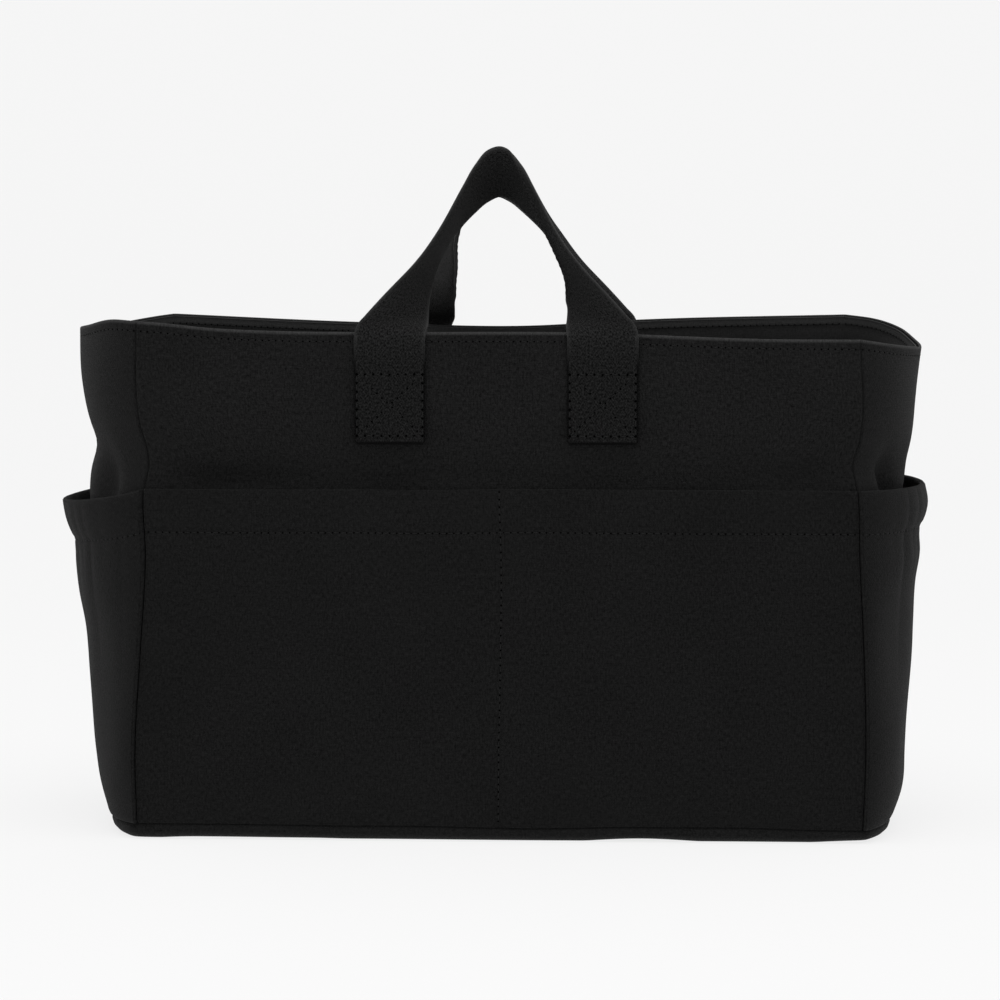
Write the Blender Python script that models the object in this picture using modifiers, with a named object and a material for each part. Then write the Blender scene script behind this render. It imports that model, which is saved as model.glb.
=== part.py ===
"""Nursery changing bag: an open canvas tote with a pocket band all round and two webbing handles.

Metres, +Z up. The front faces -Y and the origin is on the floor under the middle of the bag.
A wall's outline in plan is two straight panels joined by two end gussets that bulge outwards.
Cloth layers are offsets of that outline: positive outwards, negative into the bag.
"""

import math

import bmesh
import bpy
from mathutils import Vector

# Driving sizes of the bag
RIM_Z = 0.2735
POCKET_Z = 0.1895
SEAM_Z = 0.0075
RIM_HALF_WIDTH = 0.193
BASE_HALF_WIDTH = 0.196
HALF_DEPTH = 0.080
HEM_HEIGHT = 0.024

# How far each end stands out past the corner seams, as (height, bulge)
GUSSET_BULGE = ((0.0, 0.0135), (0.020, 0.0172), (0.100, 0.024), (0.1895, 0.026), (0.2735, 0.038))
POCKET_BULGE = ((0.0, 0.015), (0.020, 0.0215), (0.060, 0.027), (0.150, 0.038), (0.1895, 0.044))

# Cloth thicknesses, and the offset of each layer's outer surface
GAP = 0.0003
CANVAS = 0.0010
INTERLINING = 0.0014
LINING = 0.0006
POCKET_CLOTH = 0.0007
ELASTIC = 0.0009
BACKING_OUT = -0.0013
INTERLINING_OUT = -0.0026
LINING_OUT = -0.0044
POCKET_OUT = 0.0023
END_POCKET_OUT = 0.0042
FLAT_HEM_FOLD = 0.0018
ELASTIC_HEM_FOLD = 0.0030
ELASTIC_WIDTH = 0.019

# Flat pockets: how far the mouth stands off in the middle of each half
POCKET_STAND = 0.007
POCKET_STAND_RISE = 0.090

# Base
BASE_PANEL = 0.0012
BASE_ROUND = 0.003
BOARD_Z = (0.0016, 0.0036)
LINING_BASE_Z = (0.0040, 0.0046)

# Handles: 38 mm webbing
WEB_WIDTH = 0.038
WEB = 0.0014
HANDLE_X = 0.0567
PATCH_Z = (0.2135, 0.2515)
PATCH_OUT = (GAP, 0.0032)
LEG_OUT = (0.0018, 0.0032)
RIM_HINGE_Z = 0.2760
HINGE_OUT = 0.00375
# Half of the front handle above the rim: its outer and inner edge, from the rim to the top
LOOP_OUTER_EDGE = (
    (-0.0757, -0.0825, 0.2765),
    (-0.0610, -0.0820, 0.2925),
    (-0.0460, -0.0785, 0.3085),
    (-0.0340, -0.0700, 0.3245),
    (-0.0235, -0.0600, 0.3435),
    (-0.0140, -0.0510, 0.3595),
    (0.0, -0.0440, 0.3705),
)
LOOP_INNER_EDGE = (
    (-0.0377, -0.0825, 0.2765),
    (-0.0375, -0.0590, 0.2875),
    (-0.0355, -0.0455, 0.3015),
    (-0.0315, -0.0350, 0.3155),
    (-0.0270, -0.0260, 0.3285),
    (-0.0165, -0.0180, 0.3405),
    (0.0, -0.0140, 0.3445),
)
LOOP_STEPS = 3

# Threads
THREAD = 0.0004
STITCH_LINE = 0.0008
TOPSTITCH_DROP = 0.005
BOX_INSET = 0.003

PANEL_COLUMNS = 10
GUSSET_COLUMNS = 12
FRONT = ("front", -1)
BACK = ("back", 1)
LEFT = ("left", -1)
RIGHT = ("right", 1)


def clear_scene():
    for obj in list(bpy.data.objects):
        bpy.data.objects.remove(obj, do_unlink=True)


def collection(name):
    made = bpy.data.collections.new(name)
    bpy.context.scene.collection.children.link(made)
    return made


def material(name, colour, roughness, metallic=0.0):
    made = bpy.data.materials.new(name)
    made.use_nodes = True
    shader = made.node_tree.nodes["Principled BSDF"]
    shader.inputs["Base Color"].default_value = (*colour, 1.0)
    shader.inputs["Roughness"].default_value = roughness
    shader.inputs["Metallic"].default_value = metallic
    return made


def add_object(name, data, finish, parent=None):
    """Links an object into the bag's collection, under an empty where it moves."""
    obj = bpy.data.objects.new(name, data)
    data.materials.append(finish)
    BAG.objects.link(obj)
    if parent:
        obj.parent = parent
        obj.location = -parent.location
    return obj


def interpolate(pairs, at):
    """The value at one height on a line through (height, value) pairs."""
    for (low, first), (high, second) in zip(pairs, pairs[1:]):
        if at <= high:
            return first + (second - first) * (at - low) / (high - low)
    return pairs[-1][1]


def half_width(z):
    return BASE_HALF_WIDTH + (RIM_HALF_WIDTH - BASE_HALF_WIDTH) * z / RIM_Z


def mitre(bulge):
    """How far a corner moves along the panel for each metre that a layer is offset."""
    return math.tan((math.pi / 2 - math.atan2(2 * bulge, HALF_DEPTH)) / 2)


def panel_point(sign, t, z, out, cut):
    """A point on a flat panel, t from -1 to 1 between its corner seams."""
    reach = half_width(z) + (out - cut) * mitre(interpolate(GUSSET_BULGE, z)) - GAP / 2
    return Vector((t * reach, sign * (HALF_DEPTH + out), z))


def end_point(sign, t, z, out, cut, bulges=GUSSET_BULGE):
    """A point on an end, t from -1 to 1 between its corner seams."""
    bulge = interpolate(bulges, z)
    turn = mitre(bulge)
    corner = half_width(z) + out * turn
    trim = (cut * turn + GAP / 2) * math.cos(math.atan2(2 * bulge, HALF_DEPTH))
    t *= 1 - trim / (HALF_DEPTH + out)
    depth = (bulge + out - out * turn) * (1 - t * t)
    return Vector((sign * (corner + depth), t * (HALF_DEPTH + out), z))


def sheet(name, columns, rows, place, thickness, finish, offset=-1.0, parent=None):
    """A grid of columns by rows laid on place(u, v), u and v from 0 to 1, then thickened."""
    mesh = bpy.data.meshes.new(name)
    grid = bmesh.new()
    bmesh.ops.create_grid(grid, x_segments=columns, y_segments=rows, size=0.5)
    for vertex in grid.verts:
        vertex.co = place(vertex.co.x + 0.5, vertex.co.y + 0.5)
    grid.to_mesh(mesh)
    grid.free()
    obj = add_object(name, mesh, finish, parent)
    solidify = obj.modifiers.new("cloth", "SOLIDIFY")
    solidify.thickness = thickness
    solidify.offset = offset
    mesh.shade_smooth()
    return obj


def facing(sign, u):
    """Turns u so that each side's grid faces out of the bag."""
    return sign * (1 - 2 * u)


def panel_sheet(name, side, z_range, rows, out, thickness, finish):
    """A flat layer of the front or back."""
    low, high = z_range

    def place(u, v):
        return panel_point(side[1], facing(side[1], u), low + v * (high - low), out, thickness)

    return sheet(name, PANEL_COLUMNS, rows, place, thickness, finish)


def end_sheet(name, side, z_range, rows, out, thickness, finish):
    """A bulging layer of one end."""
    low, high = z_range

    def place(u, v):
        t = facing(-side[1], u)
        return end_point(side[1], t, low + v * (high - low), out, thickness)

    return sheet(name, GUSSET_COLUMNS, rows, place, thickness, finish)


def hem_path(v, steps, fold):
    """Up the outside of a pocket, over its edge and down inside: (height, inward offset)."""
    index = round(v * steps)
    outside = steps - 2
    if index < outside:
        start = SEAM_Z + GAP
        return start + (POCKET_Z - HEM_HEIGHT - start) * index / (outside - 1), 0.0
    if index == outside:
        return POCKET_Z, 0.0
    if index == outside + 1:
        return POCKET_Z, fold
    return POCKET_Z - HEM_HEIGHT, fold


def flat_pocket(side):
    """Two open pockets side by side, sewn to the panel down the middle."""
    steps = 9

    def place(u, v):
        z, inward = hem_path(v, steps, FLAT_HEM_FOLD)
        rise = math.sin(math.pi / 2 * min(1.0, z / POCKET_STAND_RISE))
        stand = POCKET_STAND * rise * math.sin(2 * math.pi * u) ** 2
        point = panel_point(side[1], facing(side[1], u), z, POCKET_OUT, POCKET_OUT)
        return point + Vector((0, side[1] * (stand - inward), 0))

    return sheet(f"pocket_{side[0]}", 16, steps, place, POCKET_CLOTH, CANVAS_POCKET)


def end_pocket(side):
    """A bulging pocket whose folded hem holds elastic."""
    steps = 10

    def place(u, v):
        z, inward = hem_path(v, steps, ELASTIC_HEM_FOLD)
        t = facing(-side[1], u)
        out = END_POCKET_OUT - inward
        return end_point(side[1], t, z, out, END_POCKET_OUT, POCKET_BULGE)

    return sheet(f"pocket_{side[0]}", 14, steps, place, POCKET_CLOTH, CANVAS_POCKET)


def elastic(side):
    """The strip inside an end pocket's hem."""
    out = END_POCKET_OUT - (ELASTIC_HEM_FOLD - ELASTIC) / 2
    middle = POCKET_Z - HEM_HEIGHT / 2

    def place(u, v):
        t = facing(-side[1], u)
        z = middle + (v - 0.5) * ELASTIC_WIDTH
        return end_point(side[1], t, z, out, END_POCKET_OUT, POCKET_BULGE)

    sheet(f"elastic_{side[0]}", GUSSET_COLUMNS, 1, place, ELASTIC, ELASTIC_STRIP)


def outline(z, out, columns=GUSSET_COLUMNS):
    """The whole plan outline at one height, counter-clockwise from the front left corner."""
    bulge = interpolate(GUSSET_BULGE, z)
    corner = half_width(z) + out * mitre(bulge)
    depth = HALF_DEPTH + out
    reach = bulge + out - out * mitre(bulge)
    ends = [-1 + 2 * i / columns for i in range(columns + 1)]
    right = [Vector((corner + reach * (1 - t * t), t * depth, z)) for t in ends]
    left = [Vector((-point.x, -point.y, z)) for point in right]
    return right + left


def base_panel():
    """The base cloth, turned up to the bottom seam: a shallow open tray."""
    mesh = bpy.data.meshes.new("base_panel")
    tray = bmesh.new()
    levels = ((0.0, -BASE_ROUND), (BASE_ROUND * 0.3, -BASE_ROUND * 0.3), (BASE_ROUND, 0.0), (SEAM_Z, 0.0))
    rings = []
    for z, out in levels:
        ring = [tray.verts.new((p.x, p.y, z)) for p in outline(SEAM_Z, out)]
        rings.append(ring)
    tray.faces.new(reversed(rings[0]))
    for low, high in zip(rings, rings[1:]):
        for i, vertex in enumerate(low):
            j = (i + 1) % len(low)
            tray.faces.new((vertex, low[j], high[j], high[i]))
    tray.to_mesh(mesh)
    tray.free()
    obj = add_object("base_panel", mesh, CANVAS_BODY)
    solidify = obj.modifiers.new("cloth", "SOLIDIFY")
    solidify.thickness = BASE_PANEL
    solidify.use_even_offset = True


def plate(name, z_range, out, finish):
    """A flat piece cut to the bag's plan outline."""
    curve = bpy.data.curves.new(name, "CURVE")
    curve.dimensions = "2D"
    curve.fill_mode = "BOTH"
    curve.extrude = (z_range[1] - z_range[0]) / 2
    points = outline(SEAM_Z, out)
    spline = curve.splines.new("POLY")
    spline.points.add(len(points) - 1)
    for slot, point in zip(spline.points, points):
        slot.co = (point.x, point.y, 0, 1)
    spline.use_cyclic_u = True
    obj = add_object(name, curve, finish)
    obj.location.z = sum(z_range) / 2


def block(name, low, high, finish, parent=None, bevel=0.0):
    """A box between two corners, its edges rounded where a bevel is given."""
    mesh = bpy.data.meshes.new(name)
    cube = bmesh.new()
    bmesh.ops.create_cube(cube, size=1.0)
    for vertex in cube.verts:
        vertex.co = [(a + b) / 2 + c * (b - a) for a, b, c in zip(low, high, vertex.co)]
    cube.to_mesh(mesh)
    cube.free()
    obj = add_object(name, mesh, finish, parent)
    if bevel:
        rounding = obj.modifiers.new("rounding", "BEVEL")
        rounding.width = bevel
        rounding.segments = 2
    return obj


def outward_span(sign, out_range):
    """The y range, low first, of a layer between two offsets on a panel."""
    return sorted(sign * (HALF_DEPTH + out) for out in out_range)


def web_block(name, side, x, z_range, out_range, finish, parent=None, bevel=0.0, width=WEB_WIDTH):
    """A piece as wide as the webbing, flat against a panel."""
    y_low, y_high = outward_span(side[1], out_range)
    low = (x - width / 2, y_low, z_range[0])
    high = (x + width / 2, y_high, z_range[1])
    return block(name, low, high, finish, parent, bevel)


def box_cross_stitch(name, side, x):
    """The sewn box with its cross, as one flat thread outline with four openings."""
    curve = bpy.data.curves.new(name, "CURVE")
    curve.dimensions = "2D"
    curve.fill_mode = "BOTH"
    curve.extrude = THREAD / 2
    half = WEB_WIDTH / 2 - BOX_INSET
    inner = half - STITCH_LINE
    corner = inner - STITCH_LINE * 0.7
    centre = STITCH_LINE * 0.7
    loops = [[(-half, -half), (half, -half), (half, half), (-half, half)]]
    for turn in range(4):
        angle = turn * math.pi / 2
        triangle = ((-corner, -inner), (corner, -inner), (0.0, -centre))
        loops.append([turned(point, angle) for point in triangle])
    for loop in loops:
        spline = curve.splines.new("POLY")
        spline.points.add(len(loop) - 1)
        for slot, point in zip(spline.points, loop):
            slot.co = (*point, 0, 1)
        spline.use_cyclic_u = True
    obj = add_object(name, curve, THREAD_BLACK)
    out = PATCH_OUT[1] + GAP + THREAD / 2
    obj.location = (x, side[1] * (HALF_DEPTH + out), sum(PATCH_Z) / 2)
    obj.rotation_euler.x = math.pi / 2


def turned(point, angle):
    x, y = point
    return x * math.cos(angle) - y * math.sin(angle), x * math.sin(angle) + y * math.cos(angle)


def rim_topstitch():
    """The thread line round the outside of the rim."""
    curve = bpy.data.curves.new("rim_topstitch", "CURVE")
    curve.dimensions = "3D"
    curve.bevel_depth = THREAD / 2
    curve.bevel_resolution = 0
    points = outline(RIM_Z - TOPSTITCH_DROP, GAP * 2 + THREAD / 2)
    spline = curve.splines.new("POLY")
    spline.points.add(len(points) - 1)
    for slot, point in zip(spline.points, points):
        slot.co = (*point, 1)
    spline.use_cyclic_u = True
    add_object("rim_topstitch", curve, THREAD_BLACK)


def divider_stitch(side):
    """The thread line that parts a flat pocket in two."""
    y_low, y_high = outward_span(side[1], (POCKET_OUT + GAP, POCKET_OUT + GAP + THREAD))
    low = (-STITCH_LINE / 2, y_low, SEAM_Z + 0.002)
    high = (STITCH_LINE / 2, y_high, POCKET_Z - 0.001)
    block(f"divider_stitch_{side[0]}", low, high, THREAD_BLACK)


def smooth_route(points, steps):
    """Points on a Catmull-Rom curve through a short list, steps to each stretch."""
    points = [Vector(p) for p in points]
    ends = [2 * points[0] - points[1], *points, 2 * points[-1] - points[-2]]
    route = []
    for i in range(len(points) - 1):
        a, b, c, d = ends[i : i + 4]
        for step in range(steps):
            s = step / steps
            route.append(
                0.5 * (2 * b + (c - a) * s + (2 * a - 5 * b + 4 * c - d) * s**2 + (3 * b - a - 3 * c + d) * s**3)
            )
    route.append(points[-1])
    return route


def mirrored(edge):
    """A whole arch from its left half."""
    return [Vector(p) for p in edge] + [Vector((-p[0], p[1], p[2])) for p in reversed(edge[:-1])]


def handle_loop(side, parent):
    """The free webbing above the rim: it faces out at the rim and turns face down at the top."""
    outer = smooth_route(mirrored(LOOP_OUTER_EDGE), LOOP_STEPS)
    inner = smooth_route(mirrored(LOOP_INNER_EDGE), LOOP_STEPS)
    stations = []
    for first, second in zip(outer, inner):
        middle = (first + second) / 2
        half = (second - first).normalized() * WEB_WIDTH / 2
        stations.append((middle - half, middle + half))

    def place(u, v):
        first, second = stations[round(v * (len(stations) - 1))]
        point = first.lerp(second, u)
        return Vector((-side[1] * point.x, -side[1] * point.y, point.z))

    name = f"handle_{side[0]}_loop"
    return sheet(name, 2, len(stations) - 1, place, WEB, WEBBING, offset=0.0, parent=parent)


def pivot(name, side, z, parent=None):
    """An empty on a hinge line, along X just outside the webbing."""
    empty = bpy.data.objects.new(name, None)
    BAG.objects.link(empty)
    empty.location = (0, side[1] * (HALF_DEPTH + HINGE_OUT), z)
    if parent:
        empty.parent = parent
        empty.location -= parent.location
    return empty


def handle(side):
    """Two sewn ends, two legs that fold at the stitching, and a loop that folds at the rim."""
    sewn_pivot = pivot(f"handle_{side[0]}_stitch_hinge", side, PATCH_Z[1])
    rim_pivot = pivot(f"handle_{side[0]}_rim_hinge", side, RIM_HINGE_Z)
    for label, x in (("left", -HANDLE_X), ("right", HANDLE_X)):
        tag = f"{side[0]}_{label}"
        web_block(f"handle_{tag}_end", side, x, PATCH_Z, PATCH_OUT, WEBBING, bevel=0.0006)
        leg_z = (PATCH_Z[1] + GAP, RIM_HINGE_Z - GAP / 2)
        web_block(f"handle_{tag}_leg", side, x, leg_z, LEG_OUT, WEBBING, sewn_pivot)
        backing_z = (PATCH_Z[0] - 0.004, PATCH_Z[1] + 0.004)
        backing_out = (BACKING_OUT - 0.001, BACKING_OUT)
        width = WEB_WIDTH + 0.008
        web_block(f"backing_{tag}", side, x, backing_z, backing_out, BACKING, width=width)
        box_cross_stitch(f"box_stitch_{tag}", side, x)
    handle_loop(side, rim_pivot)


def body():
    wall = (SEAM_Z + GAP, RIM_Z)
    stuffing = (SEAM_Z + 0.003, RIM_Z - 0.009)
    for side in (FRONT, BACK):
        panel_sheet(f"panel_{side[0]}", side, wall, 6, 0.0, CANVAS, CANVAS_BODY)
        panel_sheet(
            f"interlining_{side[0]}", side, stuffing, 2, INTERLINING_OUT, INTERLINING, FELT
        )
        panel_sheet(f"lining_{side[0]}", side, wall, 2, LINING_OUT, LINING, LINING_CLOTH)
    for side in (LEFT, RIGHT):
        end_sheet(f"gusset_{side[0]}", side, wall, 10, 0.0, CANVAS, CANVAS_BODY)
        end_sheet(f"lining_{side[0]}", side, wall, 8, LINING_OUT, LINING, LINING_CLOTH)
    base_panel()
    plate("base_board", BOARD_Z, -0.0045, BOARD)
    plate("lining_base", LINING_BASE_Z, -0.0055, LINING_CLOTH)


def build():
    body()
    for side in (FRONT, BACK):
        flat_pocket(side)
        divider_stitch(side)
        handle(side)
    for side in (LEFT, RIGHT):
        end_pocket(side)
        elastic(side)
    rim_topstitch()


clear_scene()
BAG = collection("nursery_changing_bag")
CANVAS_BODY = material("canvas_body", (0.012, 0.012, 0.014), 0.85)
CANVAS_POCKET = material("canvas_pocket", (0.014, 0.014, 0.016), 0.85)
LINING_CLOTH = material("lining_cloth", (0.010, 0.010, 0.011), 0.75)
WEBBING = material("webbing", (0.016, 0.016, 0.018), 0.70)
THREAD_BLACK = material("thread_black", (0.020, 0.020, 0.022), 0.60)
FELT = material("felt_interlining", (0.60, 0.60, 0.58), 0.95)
BOARD = material("stiffener_board", (0.20, 0.16, 0.11), 0.80)
ELASTIC_STRIP = material("elastic_strip", (0.70, 0.70, 0.68), 0.80)
BACKING = material("backing_tape", (0.05, 0.05, 0.05), 0.85)
build()
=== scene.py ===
"""Looks of the nursery changing bag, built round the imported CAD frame.

Metres, +Z up, the front faces -Y. A wall point is named by how far along the wall it is (-1 to 1
between the corner seams), how far it lies below the wall's top edge, and how far it stands out
from the outer face of the canvas (negative is into the bag).
"""

import math

import bpy
import numpy as np
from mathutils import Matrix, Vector


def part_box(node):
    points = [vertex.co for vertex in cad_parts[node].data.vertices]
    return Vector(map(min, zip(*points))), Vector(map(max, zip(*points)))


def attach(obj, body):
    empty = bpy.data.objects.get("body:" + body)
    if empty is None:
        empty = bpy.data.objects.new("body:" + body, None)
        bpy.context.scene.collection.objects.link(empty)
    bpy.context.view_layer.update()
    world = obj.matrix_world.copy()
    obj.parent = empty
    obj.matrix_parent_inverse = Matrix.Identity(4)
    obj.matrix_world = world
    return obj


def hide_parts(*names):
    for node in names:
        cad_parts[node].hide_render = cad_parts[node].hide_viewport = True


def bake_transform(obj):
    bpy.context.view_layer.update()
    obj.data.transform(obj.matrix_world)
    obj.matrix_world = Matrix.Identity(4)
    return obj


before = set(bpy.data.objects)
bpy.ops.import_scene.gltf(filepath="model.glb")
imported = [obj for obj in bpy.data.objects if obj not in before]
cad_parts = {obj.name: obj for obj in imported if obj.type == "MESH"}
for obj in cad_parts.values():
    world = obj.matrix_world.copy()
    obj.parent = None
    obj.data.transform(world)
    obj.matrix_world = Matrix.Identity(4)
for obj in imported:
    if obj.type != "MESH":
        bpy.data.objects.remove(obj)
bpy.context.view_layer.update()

# Driving sizes, from the frame
RIM_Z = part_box("panel_front")[1].z
SEAM_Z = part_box("base_panel")[1].z
POCKET_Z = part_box("pocket_front")[1].z
WALL_HEIGHT = RIM_Z - SEAM_Z
HALF_DEPTH = -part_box("panel_front")[0].y
HANDLE_X = sum(corner.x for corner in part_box("handle_front_right_leg")) / 2
PATCH_LOW, PATCH_HIGH = (corner.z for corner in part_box("handle_front_right_end"))

# Thicknesses
CANVAS = 0.0010
LINING = 0.0006
POCKET_CLOTH = 0.0007
BASE_CLOTH = 0.0011
ELASTIC_THICK = 0.0007
FELT_THICK = 0.0014
TAPE_THICK = 0.0010
WEB = 0.0014
PATCH = 0.0029

# Flat widths, seam to seam, and the hem turned in at a pocket's mouth
FACE_WIDTH = 0.388
FACE_HALF = FACE_WIDTH / 2
END_WIDTH = 0.200
WEB_WIDTH = 0.038
HEM = 0.024

# Half the distance between the corner seams at the height of the sewn handle ends
SEAM_HALF = 0.193
# The length round the face of a bulging end pocket
END_POCKET_RUN = 0.22
# How far the face of a sewn handle end stands off the canvas
PATCH_OUT = 0.0032
# How much of a layer's offset moves its corners along the wall
MITRE = 0.20
# The plan of an end, from a parabola (0) to a half ellipse (1)
END_ROUND = 0.70
# How deep and how wide cloth turns in to a corner seam
SEAM_ROLL = 0.0018
SEAM_ROLL_WIDTH = 0.0021

FRONT, BACK, LEFT, RIGHT = ("front", -1), ("back", 1), ("left", -1), ("right", 1)

# The x of each corner seam by height, as the stuffed bag stands
SEAM_X = {
    (-1, -1): ((0.000, -0.1945), (0.0525, -0.1945), (0.1025, -0.1910), (0.1525, -0.1880), (0.1895, -0.1890),
               (0.2025, -0.1868), (0.2275, -0.1918), (0.2800, -0.1930)),
    (1, -1): ((0.000, 0.1965), (0.0525, 0.1975), (0.1025, 0.1960), (0.1525, 0.1935), (0.1895, 0.1920),
              (0.2025, 0.1898), (0.2145, 0.1930), (0.2685, 0.1935)),
    (-1, 1): ((0.000, -0.1955), (0.1025, -0.1930), (0.1895, -0.1915), (0.2800, -0.1930)),
    (1, 1): ((0.000, 0.1955), (0.1025, 0.1935), (0.1895, 0.1915), (0.2800, 0.1930)),
}
# How each corner seam is drawn in above the pockets: how far, at which height, and up to which height
SEAM_DENT = {
    (-1, -1): (0.0030, 0.200, 0.225),
    (1, -1): (0.0035, 0.202, 0.228),
    (-1, 1): (0.0020, 0.200, 0.225),
    (1, 1): (0.0020, 0.200, 0.225),
}
# The height of the rim along each wall
RIM_LINE = {
    "front": ((-1.0, 0.2792), (-0.93, 0.2782), (-0.80, 0.2756), (-0.60, 0.2739), (-0.30, 0.2735),
              (0.20, 0.2735), (0.76, 0.2700), (1.0, 0.2698)),
    "back": ((-1.0, 0.2785), (-0.44, 0.2738), (0.05, 0.2718), (0.40, 0.2755), (1.0, 0.2785)),
    "left": ((-1.0, 0.2792), (-0.8, 0.2798), (-0.45, 0.2760), (-0.1, 0.2738), (0.3, 0.2730), (1.0, 0.2785)),
    "right": ((-1.0, 0.2698), (-0.5, 0.2655), (0.0, 0.2645), (0.2, 0.2668), (0.45, 0.2722), (0.7, 0.2762),
              (1.0, 0.2785)),
}
# How far an end stands out past its corner seams by height: the canvas, then the pocket over it
END_BULGE = {
    "left": ((0.000, 0.0175), (0.020, 0.0220), (0.100, 0.0290), (0.1875, 0.0393), (0.1975, 0.0390),
             (0.2115, 0.0358), (0.2215, 0.0368), (0.2505, 0.0398), (0.2750, 0.0400)),
    "right": ((0.000, 0.0135), (0.020, 0.0205), (0.100, 0.0250), (0.1875, 0.0285), (0.2045, 0.0320),
              (0.2155, 0.0330), (0.2425, 0.0350), (0.2650, 0.0385)),
}
POCKET_BULGE = {
    "left": ((0.000, 0.0185), (0.0215, 0.0238), (0.0405, 0.0255), (0.0655, 0.0282), (0.0915, 0.0318),
             (0.1155, 0.0350), (0.1365, 0.0398), (0.1525, 0.0425), (0.1640, 0.0436), (0.1775, 0.0480),
             (0.1895, 0.0505)),
    "right": ((0.000, 0.0145), (0.0215, 0.0223), (0.0405, 0.0235), (0.0655, 0.0250), (0.0915, 0.0267),
              (0.1155, 0.0282), (0.1365, 0.0302), (0.1525, 0.0335), (0.1640, 0.0337), (0.1710, 0.0366),
              (0.1775, 0.0382), (0.1895, 0.0370)),
}
# How far the middle of an end pocket's mouth hangs below its corners
MOUTH_DROOP = {"left": 0.0105, "right": 0.0002}

# Soft folds. Each is: how far it stands out (negative is in), its place along the wall and its width,
# then its height above the floor and how tall it is.
SAGS = {
    -1: ((-0.0028, -0.020, 0.160, 0.1945, 0.0075), (-0.0062, -0.150, 0.034, 0.1945, 0.0085),
         (-0.0058, 0.166, 0.024, 0.1965, 0.0095)),
    1: ((-0.0028, -0.020, 0.160, 0.1945, 0.0075),),
}
FRONT_FOLDS = ((0.0007, 0.108, 0.010, 0.204, 0.020), (-0.0016, 0.177, 0.009, 0.233, 0.017),
               (-0.0015, 0.129, 0.009, 0.199, 0.013))
END_FOLDS = {
    -1: ((-0.0082, -0.74, 0.14, 0.190, 0.015), (-0.0030, 0.35, 0.25, 0.195, 0.022),
         (0.0010, -0.85, 0.10, 0.205, 0.020)),
    1: ((0.0016, -0.48, 0.13, 0.198, 0.018), (-0.0014, -0.24, 0.10, 0.232, 0.016),
        (-0.0030, 0.40, 0.25, 0.200, 0.026)),
}

# Stitches: the pitch, the length of one, and the thread's radius
RIM_STITCH = (0.0036, 0.0024, 0.00024)
RIM_STITCH_INSIDE = (0.0036, 0.0027, 0.00026)
HEM_STITCH = (0.0038, 0.0028, 0.00026)
DIVIDER_STITCH = (0.0040, 0.0028, 0.00028)
BOX_STITCH = (0.0043, 0.0028, 0.00032)
CROSS_STITCH = (0.0036, 0.0026, 0.00028)
# The radius of a needle hole's dark lens of painted shade
HOLE_RADIUS = 0.00052
BOX_HOLE_RADIUS = 0.00072
CROSS_HOLE_RADIUS = 0.00055
# How far the rim's and the hems' stitches lie from the cloth's edge
RIM_STITCH_DROP = 0.0052
HEM_STITCH_DROP = HEM - 0.001


# ---- numbers

def smooth(pairs, at):
    """A smooth curve through (position, value) pairs, level beyond its ends."""
    x, y = np.array(pairs, float).T
    at = np.clip(np.asarray(at, float), x[0], x[-1])
    slope = np.gradient(y, x)
    i = np.clip(np.searchsorted(x, at, side="right") - 1, 0, len(x) - 2)
    h = x[i + 1] - x[i]
    s = (at - x[i]) / h
    rise = (3 - 2 * s) * s * s
    bend = s * (1 - s) ** 2 * slope[i] - s * s * (1 - s) * slope[i + 1]
    return y[i] * (1 - rise) + y[i + 1] * rise + h * bend


def bell(x, centre, width):
    return np.exp(-(((x - centre) / width) ** 2))


def ease(x, low, high):
    s = np.clip((x - low) / (high - low), 0, 1)
    return s * s * (3 - 2 * s)


def ripple(x, y, size, seed):
    """Seeded smooth noise between -1 and 1, its waves about `size` across."""
    grid = np.random.default_rng(seed).uniform(-1, 1, (64, 64))
    u = np.asarray(x, float) / size + 31.7
    v = np.asarray(y, float) / size + 17.3
    u, v = np.broadcast_arrays(u, v)
    i = np.floor(u).astype(int)
    j = np.floor(v).astype(int)
    a = (u - i) ** 2 * (3 - 2 * (u - i))
    b = (v - j) ** 2 * (3 - 2 * (v - j))
    i, j, k, m = i % 64, j % 64, (i + 1) % 64, (j + 1) % 64
    low = grid[i, j] * (1 - a) + grid[k, j] * a
    high = grid[i, m] * (1 - a) + grid[k, m] * a
    return low * (1 - b) + high * b


def length_along(points):
    """The length of a line of points up to each of them."""
    return np.concatenate([[0], np.cumsum(np.linalg.norm(np.diff(points, axis=0), axis=1))])


def across(count, width):
    """Places along a wall, closer together next to its two seams."""
    near = np.array([0, 0.15, 0.32, 0.5, 0.7, 0.9, 1.2]) * SEAM_ROLL_WIDTH * 2 / width
    inner = np.linspace(-1 + near[-1], 1 - near[-1], count)
    return np.concatenate([-1 + near[:-1], inner, 1 - near[-2::-1]])


# ---- the bag's surface

def seam(end, face, z):
    return smooth(SEAM_X[end, face], z)


def seam_depth(end, face, z):
    dent, height, top = SEAM_DENT[end, face]
    return HALF_DEPTH + smooth(((0.0, 0.0), (0.180, 0.0), (height, -dent), (top, 0.0), (0.280, 0.0)), z)


def with_folds(offset, folds, along, z):
    """An offset from the wall with soft folds added."""
    for out, centre, width, height, tall in folds:
        offset = offset + out * bell(along, centre, width) * bell(z, height, tall)
    return offset


def sag(face, x, z):
    """How far the canvas sinks in (negative) just above the flat pockets."""
    return with_folds(0.0, SAGS[face], x, z)


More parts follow.
